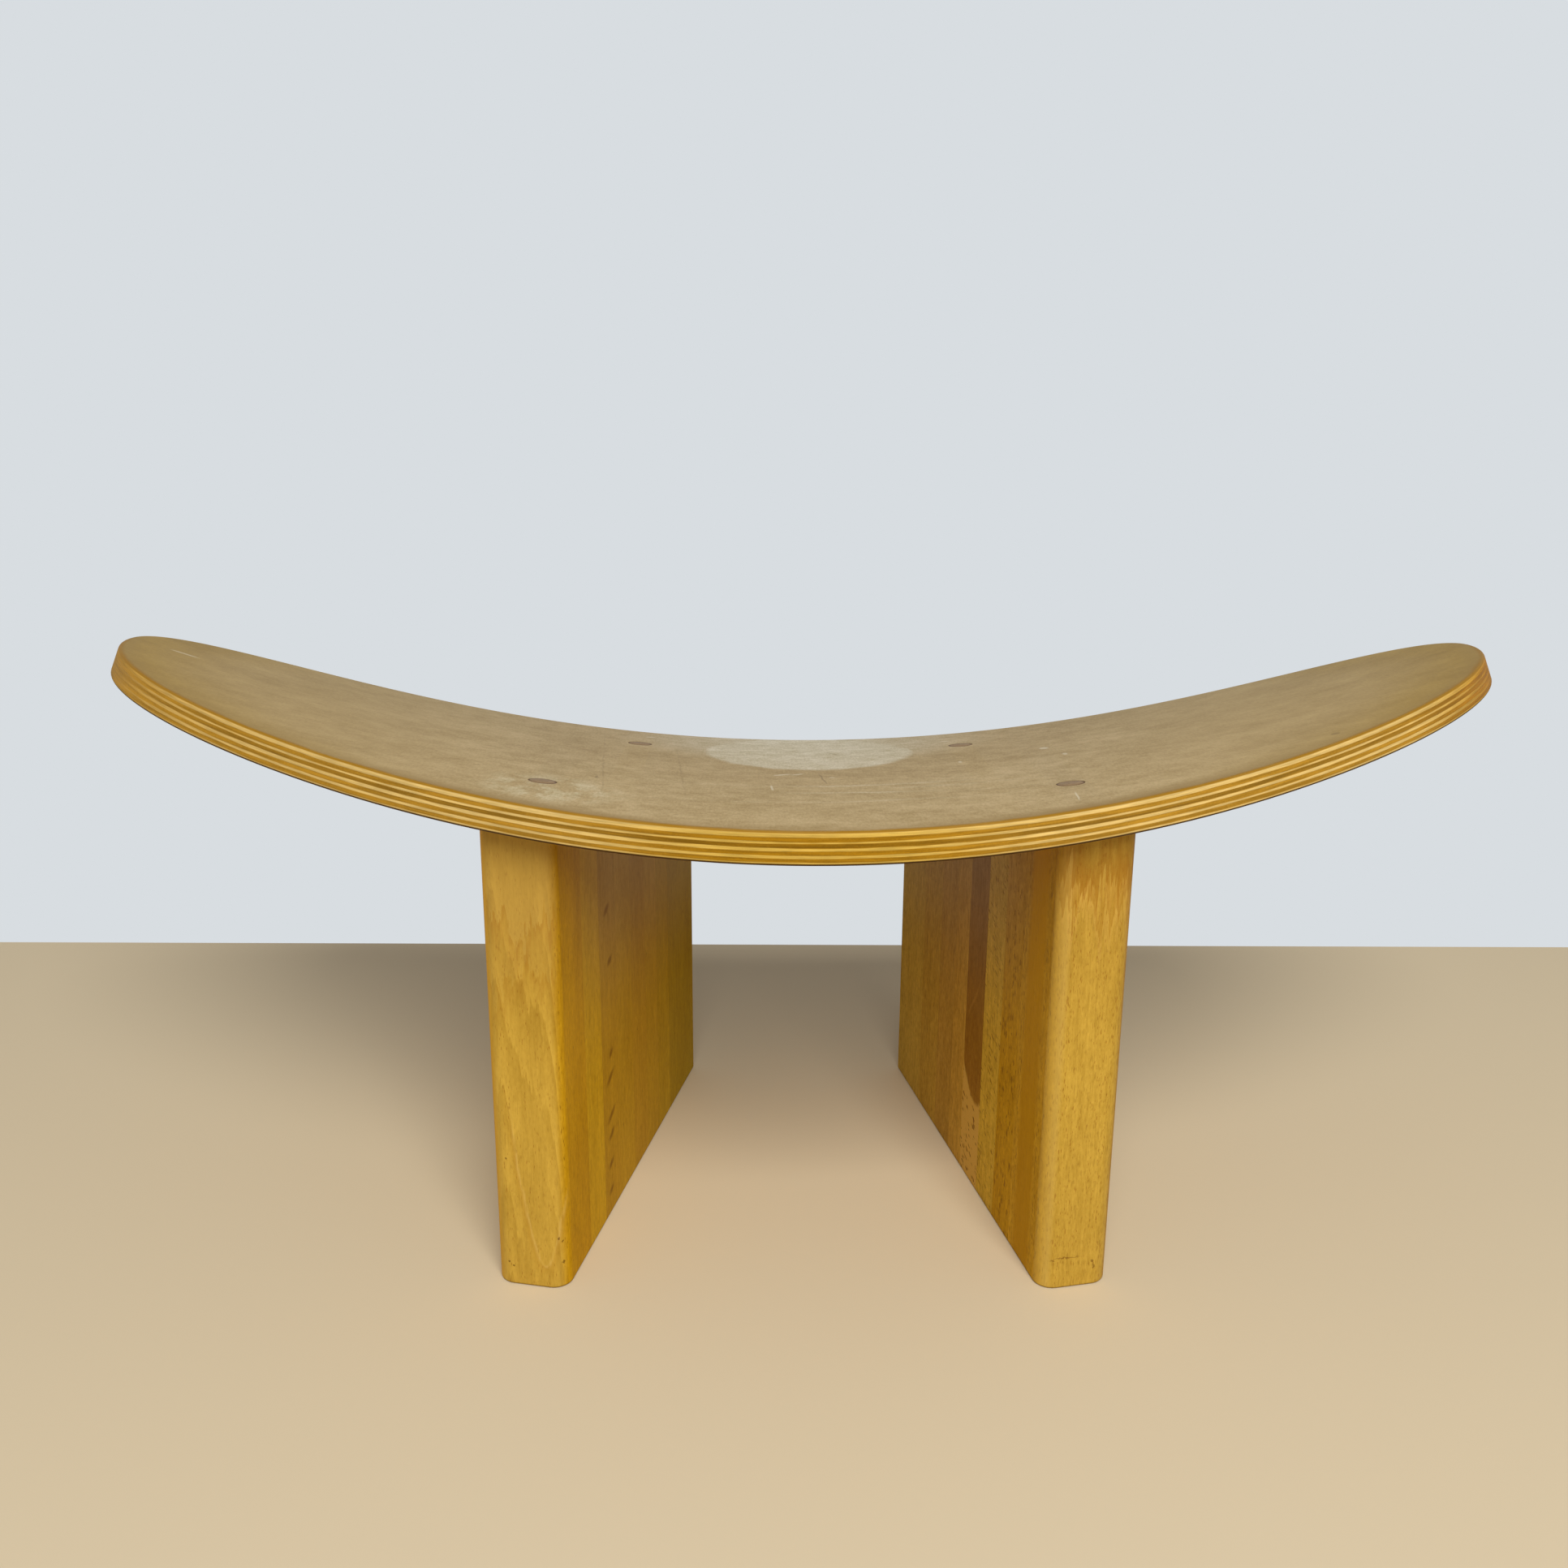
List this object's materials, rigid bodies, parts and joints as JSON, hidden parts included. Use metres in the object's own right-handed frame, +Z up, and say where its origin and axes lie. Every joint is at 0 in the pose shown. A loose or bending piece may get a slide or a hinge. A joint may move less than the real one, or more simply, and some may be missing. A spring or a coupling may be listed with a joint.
{
  "type": "meditation stool",
  "caption": "Low kneeling stool: a bent plywood seat, half-moon in plan and tilted, on two upright laminated legs that turn in towards the rear.",
  "frame": {"origin": "middle of the bounding box on the floor plane that the legs stand on", "axes": "+X along the seat's length to the right in the picture, +Y to the rear, the lower edge of the seat, +Z up"},
  "size_m": [0.553, 0.2221, 0.2234],
  "materials": {
    "seat_face": "top veneer, matt and worn, faint lengthwise grain",
    "ply_light": "pale ply seen on its edge, satin varnish",
    "ply_dark": "darker ply seen on its end grain, satin varnish",
    "stave_golden": "golden varnished beech",
    "stave_brown": "browner varnished beech",
    "stave_walnut": "dark heartwood stave, varnished",
    "plug_wood": "wooden plug, pinkish brown end grain",
    "screw_steel": "plain zinc-plated steel"
  },
  "bodies": {
    "root": {"seat_ply_1": "seat_face", "seat_ply_2": "ply_dark", "seat_ply_3": "ply_light", "seat_ply_4": "ply_dark", "seat_ply_5": "ply_light", "seat_ply_6": "ply_dark", "seat_ply_7": "ply_light", "seat_ply_8": "ply_dark", "seat_ply_9": "ply_light", "leg_left_stave_1": "stave_golden", "leg_left_stave_2": "stave_golden", "leg_left_stave_3": "stave_brown", "leg_left_stave_4": "stave_golden", "leg_left_stave_5": "stave_brown", "leg_left_stave_6": "stave_golden", "leg_left_stave_7": "stave_golden", "leg_left_stave_8": "stave_brown", "plug_left_front": "plug_wood", "screw_left_front": "screw_steel", "plug_left_rear": "plug_wood", "screw_left_rear": "screw_steel", "leg_right_stave_1": "stave_golden", "leg_right_stave_2": "stave_golden", "leg_right_stave_3": "stave_golden", "leg_right_stave_4": "stave_walnut", "leg_right_stave_5": "stave_golden", "leg_right_stave_6": "stave_brown", "leg_right_stave_7": "stave_golden", "leg_right_stave_8": "stave_brown", "plug_right_front": "plug_wood", "screw_right_front": "screw_steel", "plug_right_rear": "plug_wood", "screw_right_rear": "screw_steel"}
  },
  "joints": []
}
